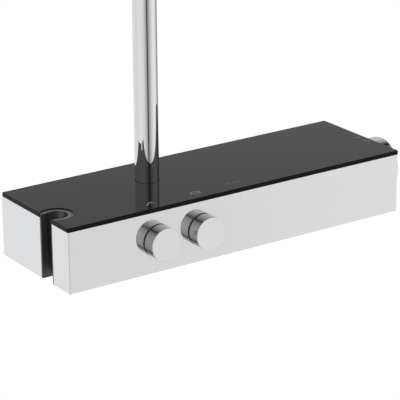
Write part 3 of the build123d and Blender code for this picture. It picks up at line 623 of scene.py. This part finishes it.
# %% [markdown]
# ## The hose outlet's thread
# A hose screws onto the nipple under the casing, so it carries a half-inch pipe thread: fourteen
# ridges to the inch with rounded tops and roots. A thread is a surface whose radius depends on
# how far along and how far round a point is, so it is drawn as a grid of points on a cylinder,
# each pushed out by a wave that climbs one pitch a turn. The wave fades out at both ends, where
# a real thread is relieved and chamfered.

# %% Cut the hose thread
outlet_low, outlet_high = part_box("hose_outlet_nipple")
outlet_spot = centre_of("hose_outlet_nipple")
bore_radius = 6.5 * mm
spigot_radius = 9.0 * mm
boss_radius = (outlet_high.x - outlet_low.x) / 2
crest_radius = 10.48 * mm
pitch = 25.4 / 14 * mm
thread_depth = 1.16 * mm
lead_in = 1.0 * mm
shoulder_z = casing_bottom + 3.0 * mm
thread_top = casing_bottom - 2.0 * mm
thread_length = thread_top - outlet_low.z
thread_rows = 84
thread_sides = 72


def thread_radius(fall, share):
    """The thread's radius at a distance below its top, and a share of the way round."""
    groove = (1 - math.cos(2 * math.pi * (fall / pitch - share))) / 2
    fade = min(1.0, fall / pitch, (thread_length - fall) / pitch)
    chamfer = max(0.0, lead_in - (thread_length - fall))
    return crest_radius - max(groove * thread_depth * fade, chamfer)


def turned_loop(shaper, z, radius_at):
    """A ring of vertices round the outlet's axis, with a radius for each share of the way round."""
    loop = []
    for side in range(thread_sides):
        turn = 2 * math.pi * side / thread_sides
        radius = radius_at(side / thread_sides)
        x = outlet_spot.x + radius * math.cos(turn)
        y = outlet_spot.y + radius * math.sin(turn)
        loop.append(shaper.verts.new((x, y, z)))
    return loop


shaper = bmesh.new()
plain = [
    (outlet_high.z, bore_radius),
    (outlet_high.z, spigot_radius),
    (shoulder_z, spigot_radius),
    (shoulder_z, boss_radius),
    (thread_top, boss_radius),
]
loops = [turned_loop(shaper, z, lambda share, radius=radius: radius) for z, radius in plain]
for row in range(thread_rows + 1):
    fall = thread_length * row / thread_rows
    loops.append(turned_loop(shaper, thread_top - fall, lambda share: thread_radius(fall, share)))
loops.append(turned_loop(shaper, outlet_low.z, lambda share: bore_radius))
bridge(shaper, loops, closed=True)
outlet = smooth_piece("hose_outlet", shaper, tube_chrome)
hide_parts("hose_outlet_nipple")
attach(outlet, "mixer")
print("cut a thread of", round(thread_length / pitch, 1), "turns")

# %% [markdown]
# ## The camera
# The camera stands in front and to the left, above the shelf, and looks down on it with a long
# lens, so that the shelf's edges stay nearly parallel.

# %% Set up the camera
camera_place = Vector((-1.3150, -1.9990, 0.8489))
camera_azimuth = math.radians(34.20)
camera_drop = math.radians(19.92)
camera_roll = math.radians(-0.39)
camera = bpy.data.objects.new("camera", bpy.data.cameras.new("camera"))
bpy.context.scene.collection.objects.link(camera)
camera.data.lens = 184.2
camera.data.sensor_width = 36.0
camera.location = camera_place
look = Vector((
    math.sin(camera_azimuth) * math.cos(camera_drop),
    math.cos(camera_azimuth) * math.cos(camera_drop),
    -math.sin(camera_drop),
))
camera.rotation_mode = "QUATERNION"
camera.rotation_quaternion = look.to_track_quat("-Z", "Y") @ Quaternion((0, 0, 1), camera_roll)
bpy.context.scene.camera = camera
print("camera", round((camera_place - riser_spot).length, 2), "m away")

# %% [markdown]
# ## The studio
# Chrome shows nothing but its surroundings, so the surroundings are the real work. The studio
# is a white tent with soft-edged panels standing in it: a broad grey one in front with a narrow
# black one at its middle, a slightly brighter one to the right, a wide dark one beyond that, a
# faint one behind on the left, and a dim roof. They give the riser its dark line and the knobs
# their narrow ones. The tent is written as a sum over the direction of a ray: a panel's place and
# width are in degrees round from the front, and the roof's are in how steeply the ray climbs,
# where 1 is straight up. The camera itself sees plain white.

# %% Build the white tent with its dark panels
world = bpy.data.worlds.new("studio_tent")
bpy.context.scene.world = world
world.use_nodes = True
tent = Board(world.node_tree)
place = tent.node("TexCoord", output="Generated")
split = tent.node("SeparateXYZ", inputs={0: place})
side = Wire(tent, split.socket.node.outputs["X"])
depth = Wire(tent, split.socket.node.outputs["Y"])
height = Wire(tent, split.socket.node.outputs["Z"])
azimuth = tent.node("Math", {"operation": "ARCTAN2"}, {0: side, 1: 0 - depth}) * math.degrees(1)


def panel(centre, width, across=azimuth):
    """How much a soft panel fills each azimuth, or height, from 1 at its centre to 0 far away."""
    offset = (across - centre) / width
    return 1 / (1 + offset * offset) ** 3


white_cloth = 1.03
front_grey = 0.70 * panel(-10, 46)
front_black = 0.60 * panel(-12.5, 4.8)
right_light = 0.12 * panel(52, 22)
right_dark = 0.70 * panel(105, 31)
back_left = 0.12 * panel(-124, 33)
roof = 0.60 * panel(1.0, 0.45, height)
brightness = white_cloth - front_grey - front_black + right_light - right_dark - back_left - roof
lit = tent.node("Math", {"operation": "MAXIMUM"}, {0: brightness, 1: 0.0})
tint = tent.blend(depth * 0.5 + 0.5, (0.985, 1.0, 0.988, 1), (0.985, 0.99, 1.01, 1))
glow = tent.node("Background", inputs={"Color": tint, "Strength": lit})
seen = tent.node("Background", inputs={"Color": grey(1.0), "Strength": 1.0})
straight = tent.node("LightPath", output="Is Camera Ray")
mixed = tent.node("MixShader", inputs={0: straight, 1: glow, 2: seen})
tent.node("OutputWorld", inputs={"Surface": mixed})
bpy.context.scene.view_settings.view_transform = "Standard"
print("tent hung")

# %% [markdown]
# One large lamp above and in front gives the plastics and the brass a light side. The floor is a
# plain pale disc, a metre below the casing, and glows a little so that it stays pale.

# %% Hang the lamp and lay the floor
lamp_data = bpy.data.lights.new("overhead", "AREA")
lamp_data.shape = "DISK"
lamp_data.size = 1.8
lamp_data.energy = 14.0
lamp = bpy.data.objects.new("overhead", lamp_data)
lamp.location = (-0.6, -1.4, 2.6)
lamp.rotation_mode = "QUATERNION"
lamp.rotation_quaternion = (-lamp.location).to_track_quat("-Z", "Y")
bpy.context.scene.collection.objects.link(lamp)

floor_radius = 1.2
floor_height = casing_bottom - 1.0
floor_paint, floor_board = new_finish("pale_floor")
close_finish(
    floor_board,
    Base_Color=floor_board.blend(floor_board.noise(3.0), grey(0.93), grey(0.96)),
    Roughness=0.8,
    Emission_Color=grey(1.0),
    Emission_Strength=0.3,
)
shaper = bmesh.new()
bmesh.ops.create_circle(shaper, cap_ends=True, segments=96, radius=floor_radius)
floor = piece_from("floor", shaper, floor_paint)
floor.location = (0, 0, floor_height)
print("floor at", round(floor_height, 3))
